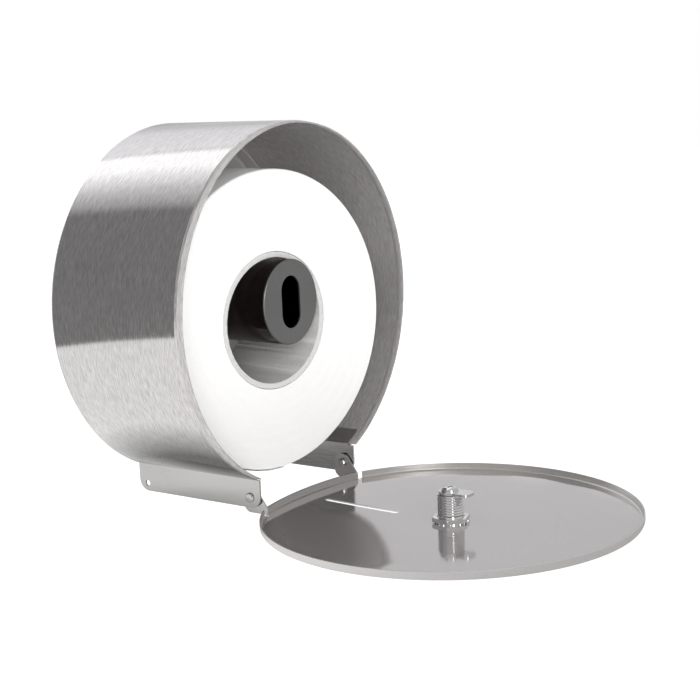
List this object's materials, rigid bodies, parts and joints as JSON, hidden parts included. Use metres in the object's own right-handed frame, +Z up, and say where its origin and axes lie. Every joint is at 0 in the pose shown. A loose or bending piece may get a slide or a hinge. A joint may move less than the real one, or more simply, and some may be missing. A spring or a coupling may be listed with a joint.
{
  "type": "jumbo paper roll dispenser",
  "caption": "Wall-hung round steel drum that holds a jumbo paper roll on a slotted hub, with a round lid hinged at the bottom and a key lock",
  "frame": {"origin": "centre of the back plate's rear face, on the drum's axis, where the dispenser meets the wall", "axes": "+Y into the wall along the drum's axis, so the front faces -Y; +Z up; X across, with the hinge line along X"},
  "size_m": [0.2676, 0.3808, 0.2835],
  "materials": {
    "drum_steel": "brushed stainless steel, grain running round the drum",
    "bracket_steel": "brushed stainless steel, grain along the bracket",
    "hub_steel": "bright rolled stainless steel",
    "hub_face_steel": "fine matt stainless steel",
    "rivet_steel": "bright stainless steel",
    "lid_steel": "brushed stainless steel with a soft mirror",
    "lock_chrome": "bright chrome plate",
    "cardboard": "pale grey recycled board",
    "paper": "soft white tissue"
  },
  "bodies": {
    "dispenser": {"back_plate": "drum_steel", "drum_shell": "drum_steel", "left_bracket": "bracket_steel", "right_bracket": "bracket_steel", "hub_tube": "hub_steel", "hub_plate": "hub_face_steel", "hub_foot": "hub_steel", "left_rivet": "rivet_steel", "right_rivet": "rivet_steel", "left_spacer": "rivet_steel", "right_spacer": "rivet_steel", "stop_stud": "rivet_steel"},
    "lid": {"lid_pan": "lid_steel", "hinge_strap": "bracket_steel", "lock_barrel": "lock_chrome", "lock_nut": "lock_chrome", "lock_washer": "lock_chrome"},
    "lock": {"lock_plug": "lock_chrome", "lock_cam": "lock_chrome", "cam_washer": "lock_chrome", "cam_screw": "lock_chrome"},
    "roll": {"roll_core": "cardboard", "paper_roll": "paper"}
  },
  "joints": [
    {"name": "lid_hinge", "type": "hinge", "parent": "dispenser", "child": "lid", "pos_m": [0, -0.114, -0.133], "axis": [-1, 0, 0], "range_deg": [0, 90]},
    {"name": "lock_turn", "type": "hinge", "parent": "lid", "child": "lock", "pos_m": [0, -0.247, -0.1458], "axis": [0, 0, 1], "range_deg": [0, 90]},
    {"name": "roll_spin", "type": "hinge", "parent": "dispenser", "child": "roll", "pos_m": [0, -0.061, -0.01265], "axis": [-0.1392, -0.9903, 0], "continuous": true}
  ]
}
